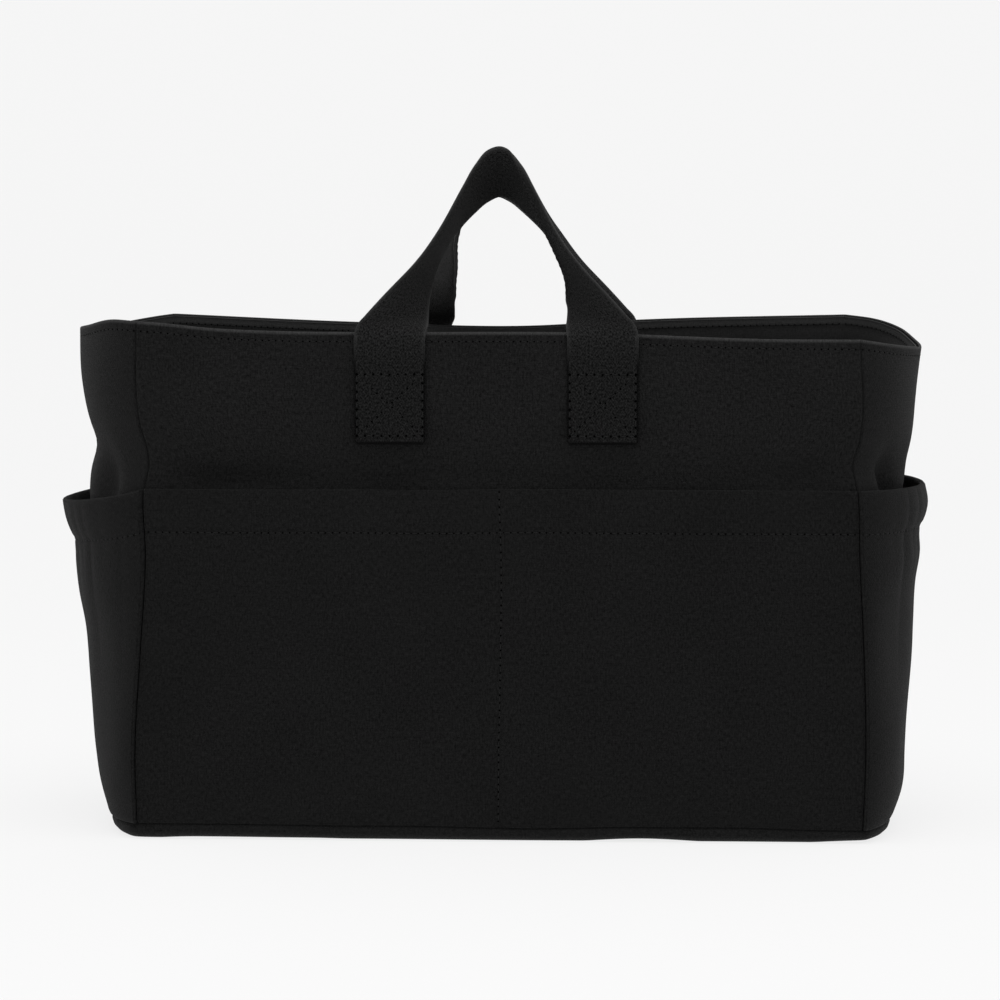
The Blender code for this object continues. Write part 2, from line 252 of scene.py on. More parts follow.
def face_waves(face, x, z):
    """How a front or back wall sags in (negative) or stands out between its seams."""
    waves = 0.0009 * ripple(x, z, 0.085, 11 + face) + 0.00035 * ripple(x, z, 0.030, 12 + face)
    waves = waves + sag(face, x, z)
    if face < 0:
        # A slanting fold and the dip beside it, low at the right
        along = (x - 0.135) * 0.62 + (z - 0.222) * 0.78
        off = (x - 0.135) * 0.78 - (z - 0.222) * 0.62
        waves = waves + 0.0009 * bell(off, 0.0, 0.0085) * bell(along, 0.0, 0.030)
        waves = waves - 0.0009 * bell(off, 0.016, 0.009) * bell(along, 0.006, 0.026)
        waves = with_folds(waves, FRONT_FOLDS, x, z)
    return waves


def foot_wave(x, y, z):
    """How far the cloth near the bottom seam rises or dips."""
    return 0.0010 * ripple(x, y, 0.055, 41) * (1 - ease(z, 0.010, 0.050))


def face_point(face, s, z, out):
    """A point on the front or back wall."""
    reach = out * MITRE
    left = seam(-1, face, z) - reach
    right = seam(1, face, z) + reach
    part = (s + 1) / 2
    x = left + (right - left) * part
    depth = seam_depth(-1, face, z) * (1 - part) + seam_depth(1, face, z) * part
    free = 1 - s ** 8
    y = face * (depth + out + face_waves(face, x, z) * free)
    return np.stack(np.broadcast_arrays(x, y, z + foot_wave(x, y, z)), -1)


def end_waves(end, t, z):
    """How an end wall sinks in (negative) or stands out above its pocket."""
    waves = 0.0010 * ripple(t * HALF_DEPTH, z, 0.035, 21 + end)
    if end > 0:
        # A slanting pinch next to the front seam
        waves = waves - 0.0078 * bell(t, -0.76 - (z - 0.195) * 4, 0.08) * bell(z, 0.192, 0.015)
    return with_folds(waves, END_FOLDS[end], t, z)


def end_point(side, t, z, out, bulges, waves=None):
    """A point on an end wall or on the pocket over it."""
    sign = side[1]
    arch = (1 - END_ROUND) * (1 - t * t) + END_ROUND * np.cos(t * math.pi / 2)
    along = (1 - END_ROUND) * t + END_ROUND * np.sin(t * math.pi / 2)
    part = (along + 1) / 2
    base = seam(sign, -1, z) * (1 - part) + seam(sign, 1, z) * part
    depth = seam_depth(sign, -1, z) * (1 - part) + seam_depth(sign, 1, z) * part
    stand = out * MITRE + (smooth(bulges[side[0]], z) + out * (1 - MITRE)) * arch
    extra = (end_waves(sign, along, z) if waves is None else waves) * (1 - t ** 6)
    x = base + sign * (stand + extra)
    y = along * (depth + out)
    return np.stack(np.broadcast_arrays(x, y, z + foot_wave(x, y, z)), -1)


def rolled(s, width, out, depth=SEAM_ROLL):
    """The offset of cloth that turns in to a seam at both ends of a wall."""
    gap = (1 - np.abs(s)) * width / 2
    return out - depth * (1 - np.clip(gap / SEAM_ROLL_WIDTH, 0, 1)) ** 2.2


# ---- meshes

def path(points, step=0.004):
    """Points on straight runs between the given ones, no further apart than a step."""
    made = [points[0]]
    for a, b in zip(points, points[1:]):
        count = max(1, math.ceil(math.dist(a, b) / step))
        for i in range(1, count + 1):
            made.append((a[0] + (b[0] - a[0]) * i / count, a[1] + (b[1] - a[1]) * i / count))
    return np.array(made)


def mesh_object(name, points, faces, finish, uv=None):
    mesh = bpy.data.meshes.new(name)
    mesh.from_pydata(np.asarray(points).tolist(), [], [tuple(map(int, face)) for face in faces])
    if uv is not None:
        layer = mesh.uv_layers.new(name="cloth")
        order = np.zeros(len(mesh.loops), int)
        mesh.loops.foreach_get("vertex_index", order)
        layer.data.foreach_set("uv", np.asarray(uv, np.float32)[order].ravel())
    mesh.materials.append(finish)
    mesh.polygons.foreach_set("use_smooth", np.full(len(mesh.polygons), True))
    mesh.update()
    obj = bpy.data.objects.new(name, mesh)
    bpy.context.scene.collection.objects.link(obj)
    return obj


def shell(name, outer, inner, width, drop, finish):
    """A closed sheet of cloth between two grids of points (rows, columns, 3)."""
    rows, columns = outer.shape[:2]
    points = np.concatenate([outer.reshape(-1, 3), inner.reshape(-1, 3)])
    index = np.arange(rows * columns).reshape(rows, columns)
    under = index + rows * columns
    faces = []

    def quads(a, b, c, d):
        faces.extend(zip(a.ravel(), b.ravel(), c.ravel(), d.ravel()))

    quads(index[:-1, :-1], index[:-1, 1:], index[1:, 1:], index[1:, :-1])
    quads(under[:-1, :-1], under[1:, :-1], under[1:, 1:], under[:-1, 1:])
    quads(index[0, :-1], under[0, :-1], under[0, 1:], index[0, 1:])
    quads(index[-1, 1:], under[-1, 1:], under[-1, :-1], index[-1, :-1])
    quads(index[1:, 0], under[1:, 0], under[:-1, 0], index[:-1, 0])
    quads(index[:-1, -1], under[:-1, -1], under[1:, -1], index[1:, -1])
    u = np.broadcast_to(width, (rows, columns))
    v = np.broadcast_to(np.asarray(drop)[:, None], (rows, columns))
    flat = np.stack([u.ravel(), v.ravel()], -1)
    obj = mesh_object(name, points, faces, finish, np.concatenate([flat, flat]))
    turn_out(obj)
    return obj


def bowl(name, rings, behind, centres, uv, finish):
    """A closed sheet of cloth from rings of points and the rings behind them, filled in to a centre."""
    count, depth = len(rings[0]), len(rings)
    loop = np.arange(count)
    after = (loop + 1) % count
    faces = []
    for k in range(depth - 1):
        a, b = k * count, (k + 1) * count
        faces += list(zip(a + after, a + loop, b + loop, b + after))
        a, b = a + depth * count, b + depth * count
        faces += list(zip(a + loop, a + after, b + after, b + loop))
    back = depth * count
    faces += list(zip(loop, after, back + after, back + loop))
    last, last_back = (depth - 1) * count, (2 * depth - 1) * count
    centre = np.full(count, 2 * depth * count)
    faces += list(zip(last + after, last + loop, centre))
    faces += list(zip(last_back + loop, last_back + after, centre + 1))
    made = mesh_object(name, np.concatenate(rings + behind + [centres]), faces, finish, uv)
    turn_out(made)
    return made


def turn_out(obj):
    """Turns a closed mesh's faces outwards if they point in."""
    mesh = obj.data
    mesh.calc_loop_triangles()
    corners = np.array([v.co for v in mesh.vertices])
    triangles = np.array([t.vertices for t in mesh.loop_triangles])
    a, b, c = corners[triangles[:, 0]], corners[triangles[:, 1]], corners[triangles[:, 2]]
    if np.einsum("ij,ij->", a, np.cross(b, c)) < 0:
        mesh.flip_normals()


def cloth(name, place, profile, thickness, s, width, finish):
    """Cloth that follows a profile of (drop, out) points up its face, with its hidden side inwards."""
    drop, out = profile.T
    tangent = np.gradient(profile, axis=0)
    tangent /= np.linalg.norm(tangent, axis=1)[:, None]
    # On the way up the face drop falls, so the hidden side lies towards lower out.
    hidden_drop = drop - tangent[:, 1] * thickness
    hidden_out = out + tangent[:, 0] * thickness
    outer = place(s[None, :], drop[:, None], out[:, None])
    inner = place(s[None, :], hidden_drop[:, None], hidden_out[:, None])
    return shell(name, outer, inner, s[None, :] * width / 2, length_along(profile), finish)


def on_bag(piece, slot, *nodes):
    """A piece that rides on the bag and stands for the nodes. Its slot is not used."""
    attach(piece, "bag")
    if nodes:
        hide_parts(*nodes)
    return piece


# ---- materials

def grey(value):
    return (value, value, value, 1)


def fill(node, **values):
    """Sets a node's sockets. An underscore in a name stands for a space."""
    for name, value in values.items():
        node.inputs[name.replace("_", " ")].default_value = value


class Finish:
    """A material with short calls for its nodes. Its colours are greys."""

    def __init__(self, name, roughness, sheen=0.0, specular=0.10):
        self.material = bpy.data.materials.new(name)
        self.material.use_nodes = True
        self.tree = self.material.node_tree
        self.shader = self.tree.nodes["Principled BSDF"]
        fill(self.shader, Roughness=roughness, Specular_IOR_Level=specular, Sheen_Weight=sheen,
             Sheen_Roughness=0.5)

    def node(self, kind, **values):
        made = self.tree.nodes.new(kind)
        for key, value in values.items():
            setattr(made, key, value)
        return made

    def link(self, source, target):
        self.tree.links.new(source, target)

    def maths(self, operation, a, b=0.0, c=None):
        made = self.node("ShaderNodeMath", operation=operation)
        for slot, value in zip(made.inputs, (a, b) if c is None else (a, b, c)):
            if isinstance(value, (int, float)):
                slot.default_value = value
            else:
                self.link(value, slot)
        return made.outputs[0]

    def times(self, a, b, plus=None):
        return self.maths("MULTIPLY", a, b) if plus is None else self.maths("MULTIPLY_ADD", a, b, plus)

    def cloth_uv(self):
        made = self.node("ShaderNodeUVMap", uv_map="cloth")
        parts = self.node("ShaderNodeSeparateXYZ")
        self.link(made.outputs[0], parts.inputs[0])
        return parts.outputs[0], parts.outputs[1]

    def noise(self, u, v, scale_u, scale_v, detail=2.0):
        place = self.node("ShaderNodeCombineXYZ")
        self.link(self.times(u, scale_u), place.inputs[0])
        self.link(self.times(v, scale_v), place.inputs[1])
        made = self.node("ShaderNodeTexNoise")
        fill(made, Scale=1.0, Detail=detail)
        self.link(place.outputs[0], made.inputs["Vector"])
        return made.outputs["Fac"]

    def colours(self, amount, dark, light):
        """Sets the colour, from dark to light by an amount."""
        made = self.node("ShaderNodeMix", data_type="RGBA")
        self.link(amount, made.inputs["Factor"])
        fill(made, A=grey(dark), B=grey(light))
        self.link(made.outputs["Result"], self.shader.inputs["Base Color"])
        return made

    def ramp(self, value, low, high):
        """0 at low and 1 at high, and level beyond them."""
        made = self.node("ShaderNodeMath", operation="MULTIPLY_ADD", use_clamp=True)
        self.link(value, made.inputs[0])
        made.inputs[1].default_value = 1 / (high - low)
        made.inputs[2].default_value = -low / (high - low)
        return made.outputs[0]

    def over(self, mask, tone):
        """Lays another tone over the colour so far, by a mask."""
        so_far = self.shader.inputs["Base Color"].links[0].from_socket
        made = self.colours(mask, 0.0, tone)
        self.link(so_far, made.inputs["A"])

    def relief(self, height, distance):
        made = self.node("ShaderNodeBump")
        fill(made, Strength=1.0, Distance=distance)
        self.link(height, made.inputs["Height"])
        self.link(made.outputs[0], self.shader.inputs["Normal"])


def woven(name, dark, light, pitch, relief, roughness, sheen, highlight_band=None, highlight_tone=0.0):
    """Plain-woven cloth: crossing threads, uneven yarn and a soft mottle.

    If given, the last two arguments are the two heights on the cloth between which a painted highlight comes
    in along the rim's edge, broken up by the yarn's streaks, and that highlight's tone.
    """
    made = Finish(name, roughness, sheen)
    u, v = made.cloth_uv()
    wander = made.noise(u, v, 160, 160)
    u_off = made.times(wander, pitch * 0.9, u)
    v_off = made.times(wander, pitch * 0.9, v)
    warp = made.maths("SINE", made.times(u_off, math.pi / pitch))
    weft = made.maths("SINE", made.times(v_off, math.pi / pitch))
    cross = made.times(warp, weft)
    crown = made.times(cross, 0.15)
    crowns = made.times(made.maths("ABSOLUTE", cross), 0.35, crown)
    streaks = made.noise(u, v, 1.0 / pitch, 420, 3.0)
    picks = made.noise(u, v, 420, 1.0 / pitch, 2.0)
    yarn = made.maths("ADD", made.times(streaks, 1.1), made.times(picks, 0.7))
    height = made.maths("ADD", crowns, yarn)
    made.relief(height, relief)
    mottle = made.times(made.noise(u, v, 22, 22, 4.0), 0.25)
    mixed = made.times(crowns, 0.25, made.times(yarn, 1.25, mottle))
    tone = made.maths("SUBTRACT", mixed, 0.86)
    made.colours(tone, dark, light)
    # Painted highlight along the rim's edge, broken up by the yarn's streaks.
    if highlight_band:
        highlight_streaks = made.times(streaks, 1.2, 0.2)
        made.over(made.times(made.ramp(v, *highlight_band), highlight_streaks), highlight_tone)
    return made.material


def ribbed(name, dark, light):
    """Webbing: fine lengthwise threads crossed by ribs.

    Its sewn ends have a dark outline of painted shadow, and its free part is lighter with painted light,
    most of all in a painted highlight along its edges.
    """
    made = Finish(name, 0.92, 0.02, 0.08)
    u, v = made.cloth_uv()
    wander = made.noise(u, v, 260, 260)
    v_off = made.times(wander, 0.0007, v)
    u_off = made.times(wander, 0.0005, u)
    rib = made.maths("SINE", made.times(v_off, 2 * math.pi / 0.0021))
    thread = made.maths("SINE", made.times(u_off, 2 * math.pi / 0.0014))
    cross = made.times(rib, thread)
    grain = made.noise(u, v, 1150, 900, 3.0)
    height = made.times(cross, 0.35, made.times(grain, 1.8))
    made.relief(height, 0.00045)
    speckle = made.times(made.noise(u, v, 1000, 850, 3.0), 2.6, -0.9)
    tone = made.times(cross, 0.15, speckle)
    made.colours(tone, dark, light)
    # Painted light and shade: dark just above the sewn end, lighter up the free part.
    free = made.ramp(v, PATCH_HIGH + 0.004, PATCH_HIGH + 0.034)
    sewn = made.maths("SUBTRACT", 1.0, free)
    off_middle = made.maths("ABSOLUTE", u)
    # Painted shadow: a dark outline along the sewn end's sides and bottom.
    outline = made.maths("MAXIMUM", made.ramp(off_middle, 0.0177, 0.0184),
                         made.ramp(v, PATCH_LOW + 0.0022, PATCH_LOW + 0.0012))
    made.over(made.times(outline, sewn), 0.0004)
    # Painted light over the free part, broken up by the speckle.
    made.over(made.times(free, made.times(speckle, 0.55)), 0.036)
    # Painted highlight along the free part's edges.
    edge = made.maths("POWER", made.ramp(off_middle, 0.0155, 0.0190), 2.0)
    made.over(made.times(made.times(edge, free), 0.8), 0.055)
    return made.material


def grained(name, dark, light, scale, relief, roughness, sheen=0.0, specular=0.3):
    """A finish with a fine grain in object space, for small pieces."""
    made = Finish(name, roughness, sheen, specular)
    place = made.node("ShaderNodeTexCoord")
    grain = made.node("ShaderNodeTexNoise")
    fill(grain, Scale=scale, Detail=4.0)
    made.link(place.outputs["Object"], grain.inputs["Vector"])
    made.relief(grain.outputs["Fac"], relief)
    made.colours(grain.outputs["Fac"], dark, light)
    return made.material


# The canvas gets a painted highlight along its folded rim edge.
CLOTH_BODY = woven("canvas_black", 0.0006, 0.0164, 0.00090, 0.00045, 0.90, 0.03,
                   highlight_band=(WALL_HEIGHT - 0.0020, WALL_HEIGHT - 0.0008), highlight_tone=0.040)
CLOTH_POCKET = woven("canvas_black_pocket", 0.0006, 0.0126, 0.00090, 0.00045, 0.90, 0.03)
# The lining gets a painted highlight along its top edge at the rim.
CLOTH_LINING = woven("lining_black", 0.0060, 0.0200, 0.00060, 0.00020, 0.85, 0.04,
                     highlight_band=(WALL_HEIGHT - 0.0045, WALL_HEIGHT + 0.0007), highlight_tone=0.060)
WEBBING = ribbed("webbing_black", 0.0008, 0.0185)
THREAD = grained("thread_black", 0.0020, 0.0070, 2500, 0.00010, 0.70, 0.03, 0.2)
# Painted shade for the needle holes' pits.
HOLE_SHADE = grained("needle_hole_shade", 0.0004, 0.0008, 900, 0.00002, 1.0, 0.0, 0.0)
FELT = grained("felt", 0.42, 0.66, 900, 0.0004, 0.95, 0.3)
ELASTIC = woven("elastic_white", 0.55, 0.78, 0.0011, 0.00030, 0.75, 0.2)
TAPE = woven("backing_tape", 0.030, 0.060, 0.0009, 0.00025, 0.85, 0.2)
BOARD = grained("fibre_board", 0.10, 0.22, 700, 0.0002, 0.8)


# ---- walls

WIDTH = {"front": FACE_WIDTH, "back": FACE_WIDTH, "left": END_WIDTH, "right": END_WIDTH}


def wall_place(side, to_seams=True):
    """place(s, drop, out) for a layer of a wall. Only the outer canvas turns in to the corner seams."""
    def place(s, drop, out):
        rim = smooth(RIM_LINE[side[0]], s)
        z = rim - drop * (rim - SEAM_Z) / WALL_HEIGHT
        offset = rolled(s, WIDTH[side[0]], out) if to_seams else out
        if side in (FRONT, BACK):
            return face_point(side[1], s, z, offset)
        return end_point(side, s, z, offset, END_BULGE)

    return place


def wall_columns(side):
    count = 90 if side in (FRONT, BACK) else 60
    return across(count, WIDTH[side[0]]) * 0.99995


def canvas_wall(side, node):
    """The outer canvas: turned in at the rim and tucked into the base seam."""
    profile = path([
        (WALL_HEIGHT - 0.0004, -0.0012), (WALL_HEIGHT - 0.0012, -0.0004), (WALL_HEIGHT - 0.0030, 0.0),
        (0.0060, 0.0), (0.0052, -0.0002), (0.0044, 0.0), (0.0011, 0.0), (0.0004, -0.0002), (0.0, -0.0007),
        (0.0001, -0.0012), (0.0005, -0.0017)])
    made = cloth(f"canvas_{side[0]}", wall_place(side), profile, CANVAS, wall_columns(side),
                 WIDTH[side[0]], CLOTH_BODY)
    return on_bag(made, "canvas", node)


def felt(side):
    """The interlining behind a front or back wall."""
    profile = path([(WALL_HEIGHT - 0.003, -0.0026), (0.010, -0.0026)], 0.008)
    s = np.linspace(-0.975, 0.975, 40)
    made = cloth(f"felt_{side[0]}", wall_place(side, False), profile, FELT_THICK, s, WIDTH[side[0]], FELT)
    return on_bag(made, "interlining", f"interlining_{side[0]}")


def lining_wall(side):
    """The lining: it hangs inside the wall and comes out to meet the canvas at the rim."""
    profile = path([
        (WALL_HEIGHT + 0.0010, -0.0044), (0.0140, -0.0044), (0.0090, -0.0036), (0.0065, -0.0026),
        (0.0052, -0.0028), (0.0040, -0.0024), (0.0016, -0.0023), (0.0011, -0.0026), (0.0010, -0.0030)])
    made = cloth(f"lining_cloth_{side[0]}", wall_place(side, False), profile, LINING, wall_columns(side),
                 WIDTH[side[0]], CLOTH_LINING)
    return on_bag(made, "lining", f"lining_{side[0]}")


def plan_outline(out, bulges, count=60):
    """The bag's outline at the bottom seam, once round."""
    s = np.linspace(-1, 1, count)
    z = np.full(count, SEAM_Z)
    out = np.full(count, out)
    front = face_point(-1, s, z, out)
    right = end_point(RIGHT, s, z, out, bulges, 0.0)
    back = face_point(1, -s, z, out)
    left = end_point(LEFT, -s, z, out, bulges, 0.0)
    return np.concatenate([front[:-1], right[:-1], back[:-1], left[:-1]])


def rounded(ring, passes):
    """Eases the corners of a closed ring of points."""
    for _ in range(passes):
        ring = ring * 0.5 + (np.roll(ring, 1, 0) + np.roll(ring, -1, 0)) * 0.25
    return ring


def base_cloth():
    """The base: cloth that bulges below the bottom seam and rests on the floor."""
    levels = ((0.0076, -0.0010), (0.0070, 0.0002), (0.0058, 0.0012), (0.0042, 0.0016), (0.0026, 0.0010),
              (0.0012, -0.0006), (0.0003, -0.0028), (0.0000, -0.0059))
    rings, behind = [], []
    for z, out in levels:
        ring = rounded(plan_outline(out, POCKET_BULGE, 100), 14)
        wave = foot_wave(ring[:, 0], ring[:, 1], z) * z / SEAM_Z
        crumple = np.clip(ripple(ring[:, 0], ring[:, 1], 0.060, 43) - 0.1, 0, 1)
        ring[:, 2] = z + wave + 0.0020 * crumple * (1 - z / SEAM_Z)
        rings.append(ring)
        hidden = rounded(plan_outline(out - BASE_CLOTH, POCKET_BULGE, 100), 14)
        hidden[:, 2] = ring[:, 2]
        behind.append(hidden)
    behind[-1][:, 2] += BASE_CLOTH
    behind[-2][:, 2] += BASE_CLOTH - 0.0002
    centres = np.stack([rings[-1].mean(0), behind[-1].mean(0)])
    run = length_along(rings[0][:, :2])
    uv = [np.stack([run, np.full(len(run), z * 1.4)], -1) for z, _ in levels + levels]
    made = bowl("canvas_base", rings, behind, centres, np.concatenate(uv + [centres[:, :2]]), CLOTH_BODY)
    return on_bag(made, "canvas", "base_panel")


def lining_floor():
    """The lining over the base board."""
    height = 0.0046
    outline = plan_outline(-0.0060, END_BULGE)
    rings = []
    for scale in (1.0, 0.97, 0.8, 0.5, 0.2):
        ring = outline * (scale, scale, 0)
        ring[:, 2] = height + 0.0002 * ripple(ring[:, 0], ring[:, 1], 0.04, 51)
        rings.append(ring)
    behind = [ring - (0, 0, LINING) for ring in rings]
    centres = np.array([(0, 0, height), (0, 0, height - LINING)])
    uv = np.concatenate(rings + behind + [centres])[:, :2]
    made = bowl("lining_cloth_floor", rings, behind, centres, uv, CLOTH_LINING)
    return on_bag(made, "lining", "lining_base")


# ---- pockets

POCKET_DROP = POCKET_Z - SEAM_Z


def foot_tuck(z):
    """How far a pocket draws in on its way down to the bottom seam."""
    tuck = 0.0012 * (1 - ease(z, SEAM_Z, SEAM_Z + 0.030))
    return tuck + 0.0014 * np.clip(1 - (z - SEAM_Z) / 0.0024, 0, 1) ** 2


def face_pocket_place(side):
    """place(s, drop, out) for a flat pocket: tight at the seams and the divider, slack between."""
    def place(s, drop, out):
        x = s * FACE_HALF
        uneven = 0.0006 * ripple(x, 0.0, 0.050, 61) * ease(POCKET_DROP - drop, 0.10, 0.18)
        z = POCKET_Z - drop + uneven
        slack = 0.0016 * np.sin(math.pi * np.abs(s)) ** 2 * (ease(z, 0.02, 0.15) + ease(z, 0.14, 0.19))
        divider = 0.0008 * bell(x, 0.0, 0.0020) * ease(POCKET_Z - z, -0.002, 0.004)
        hem_pinch = 0.0005 * bell(drop, HEM_STITCH_DROP, 0.0012)
        offset = out + slack - divider - hem_pinch - foot_tuck(z) - sag(side[1], x, z)
        return face_point(side[1], s, z, rolled(s, FACE_WIDTH, offset, 0.0030))

    return place


def gathers(side, t, drop):
    """Elastic puckers in the casing, which run out into soft folds below."""
    seed = 71 + side[1]
    along = t * HALF_DEPTH
    warp = along + 0.0035 * ripple(along, 0.0, 0.017, seed)
    fine = np.abs(np.sin(math.pi * warp / 0.0105 + 0.7)) ** 0.8 - 0.62
    broad = np.abs(np.sin(math.pi * warp / 0.0210 + 0.4)) ** 0.9 - 0.62
    casing = ease(drop, -0.002, 0.005) * (1 - ease(drop, 0.026, 0.060))
    fade = ease(drop, 0.018, 0.034) * (1 - ease(drop, 0.050, 0.125))
    pinch = bell(drop, HEM_STITCH_DROP, 0.0022)
    level = 0.10 + 0.80 * (0.5 + 0.5 * ripple(along, 0.3, 0.022, seed + 5))
    swell = 0.0016 * ripple(along * 1.6, drop, 0.050, seed + 2) * ease(drop, 0.02, 0.06)
    return level * (0.0008 * fine * casing + 0.0013 * broad * fade) - 0.0008 * pinch + swell


def end_pocket_place(side):
    """place(t, drop, out) for an end pocket, whose mouth droops in the middle."""
    droop = MOUTH_DROOP[side[0]]

    def place(t, drop, out):
        mouth = POCKET_Z - droop * (1 - t * t) ** 0.8
        z = mouth - drop * (mouth - SEAM_Z) / POCKET_DROP
        # The bulge is read at the height the point would have without the droop.
        level = POCKET_Z - drop
        offset = rolled(t, END_POCKET_RUN, out - foot_tuck(level), 0.0034)
        point = end_point(side, t, level, offset, POCKET_BULGE, gathers(side, t, drop))
        point[..., 2] += z - level
        return point

    return place


def pocket(side, place, count, lift, fold):
    """A pocket cloth with its top turned in as a wide hem."""
    hem_stitch = [(drop, lift) for drop in (0.0258, 0.0246, 0.0238, 0.0230, 0.0222, 0.0214, 0.0202)]
    profile = path([
        (POCKET_DROP - 0.0002, lift - 0.0002), (POCKET_DROP - 0.003, lift), *hem_stitch,
        (0.0012, lift), (0.0003, lift - fold * 0.22), (0.0, lift - fold * 0.5), (0.0003, lift - fold * 0.78),
        (0.0012, lift - fold), (HEM, lift - fold)], 0.0026)
    s = across(count, WIDTH[side[0]]) * 0.9990
    if side in (FRONT, BACK):
        right = np.array([0.0006, 0.0012, 0.0020, 0.0030, 0.0045])
        near_divider = np.concatenate([-right[::-1], [0.0], right]) / FACE_HALF
        s = np.sort(np.concatenate([s[np.abs(s) > 0.0055 / FACE_HALF], near_divider]))
    made = cloth(f"pocket_cloth_{side[0]}", place, profile, POCKET_CLOTH, s, WIDTH[side[0]], CLOTH_POCKET)
    return on_bag(made, "pocket_canvas", f"pocket_{side[0]}")


def elastic_band(side):
    """The elastic inside an end pocket's hem."""
    profile = path([(HEM - 0.003, 0.0030), (0.0035, 0.0030)], 0.003)
    s = np.linspace(-0.985, 0.985, 90)
    made = cloth(f"elastic_band_{side[0]}", end_pocket_place(side), profile, ELASTIC_THICK, s,
                 WIDTH[side[0]], ELASTIC)
    return on_bag(made, "elastic", f"elastic_{side[0]}")


# ---- handles

# Left half of the front strap, from the sewn end up: its outer and inner edge
STRAP_OUTER = (
    (-0.0757, -0.0826, PATCH_HIGH), (-0.0757, -0.0821, PATCH_HIGH + 0.0045),
    (-0.0757, -0.0826, PATCH_HIGH + 0.013), (-0.0757, -0.0829, PATCH_HIGH + 0.019),
    (-0.0740, -0.0830, 0.2750), (-0.0685, -0.0828, 0.2820), (-0.0576, -0.0816, 0.2945),
    (-0.0442, -0.0765, 0.3093), (-0.0306, -0.0670, 0.3290), (-0.0188, -0.0570, 0.3512),
    (-0.0126, -0.0520, 0.3626), (-0.0062, -0.0480, 0.3706), (0.0, -0.0468, 0.3726))
STRAP_INNER = (
    (-0.0377, -0.0826, PATCH_HIGH), (-0.0377, -0.0821, PATCH_HIGH + 0.0045),
    (-0.0377, -0.0826, PATCH_HIGH + 0.013), (-0.0377, -0.0829, PATCH_HIGH + 0.019),
    (-0.0382, -0.0790, 0.2742), (-0.0384, -0.0655, 0.2790), (-0.0378, -0.0520, 0.2890),
    (-0.0352, -0.0408, 0.3020), (-0.0300, -0.0313, 0.3165), (-0.0222, -0.0275, 0.3280),
    (-0.0140, -0.0246, 0.3365), (-0.0065, -0.0220, 0.3425), (0.0, -0.0203, 0.3452))
# Where the legs' strap ends and the loop's begins
SPLIT_Z = 0.2645
# The box of stitches on a sewn end
BOX_HALF_WIDTH = 0.0175
BOX_HALF_HEIGHT = 0.0164
BOX_Z = PATCH_HIGH - 0.0004 - BOX_HALF_HEIGHT


def whole(edge):
    """Both halves of a strap edge, from the left half of it."""
    return np.array(list(edge) + [(-x, y, z) for x, y, z in reversed(edge[:-1])])


def with_station(first, second, along, height):
    """The stations with one more on each leg, where the strap's middle crosses a height."""
    z = (first[:, 2] + second[:, 2]) / 2
    above = z >= height
    for i in reversed(np.nonzero(above[1:] != above[:-1])[0]):
        part = (height - z[i]) / (z[i + 1] - z[i])
        first, second, along = (np.insert(line, i + 1, line[i] * (1 - part) + line[i + 1] * part, 0)
                                for line in (first, second, along))
    return first, second, along


def strap_line(step=0.0016):
    """Stations along the front strap, sewn end to sewn end: edge points, and the length so far."""
    outer, inner = whole(STRAP_OUTER), whole(STRAP_INNER)
    length = length_along((outer + inner) / 2)
    at = np.linspace(0, length[-1], int(length[-1] / step) + 1)

    def resampled(edge):
        return np.stack([smooth(list(zip(length, edge[:, k])), at) for k in range(3)], -1)

    first, second = resampled(outer), resampled(inner)
    centre = (first + second) / 2
    half = second - first
    half *= WEB_WIDTH / 2 / np.linalg.norm(half, axis=1)[:, None]
    return with_station(centre - half, centre + half, at, SPLIT_Z)


def ribbon(name, first, second, along, thickness, sculpt, count):
    """A closed webbing strap between two edge lines. sculpt(u, along) lifts its face."""
    u = np.concatenate([[0, 0.010, 0.03], np.linspace(0.06, 0.94, count), [0.97, 0.990, 1]])
    middle = first[:, None] * (1 - u)[None, :, None] + second[:, None] * u[None, :, None]
    cross_way = second - first
    cross_way /= np.linalg.norm(cross_way, axis=1)[:, None]
    onward = np.gradient((first + second) / 2, axis=0)
    normal = np.cross(cross_way, onward)
    normal /= np.linalg.norm(normal, axis=1)[:, None]
    round_off = np.sqrt(np.clip(1 - np.abs(2 * u - 1) ** 14, 0.04, 1))
    half = thickness[:, None] * round_off[None, :] / 2
    lift = sculpt(u[None, :], along[:, None])
    top = middle + normal[:, None] * (half + lift)[..., None]
    under = middle - normal[:, None] * (half - lift)[..., None]
    return shell(name, top, under, (u[None, :] - 0.5) * WEB_WIDTH, along, WEBBING)


def turned_round(points, side):
    """The back handle is the front one turned half round, its legs leaning together over the rim."""
    if side is FRONT:
        return points
    turned = points * np.array([-1.0, -1.0, 1.0])
    lean = ease(turned[:, 2], 0.2545, 0.284) * (1 - ease(turned[:, 2], 0.300, 0.328))
    turned[:, 0] += np.where(turned[:, 0] < 0, 0.0075, -0.0022) * lean
    turned[:, 0] -= 0.0038 * ease(turned[:, 2], 0.300, 0.345)
    return turned


def strap_crease(u, along, total):
    """A sharp fold that runs up one leg from its inner to its outer edge, and a soft bow elsewhere."""
    part = along / total
    lift = 0.0004 * ripple(u * WEB_WIDTH, along, 0.020, 81)
    bow = 0.0012 * (1 - (2 * u - 1) ** 2) * ease(part, 0.18, 0.30) * (1 - ease(part, 0.70, 0.82))
    line = 0.83 - 0.30 * (1 - u)
    ridge = 0.0022 * np.exp(-np.abs(part - line) / 0.022)
    ridge = ridge * ease(part, 0.50, 0.56) * (1 - ease(part, 0.80, 0.86))
    return (lift + bow) * ease(part, 0.12, 0.2) * (1 - ease(part, 0.8, 0.88)) + ridge


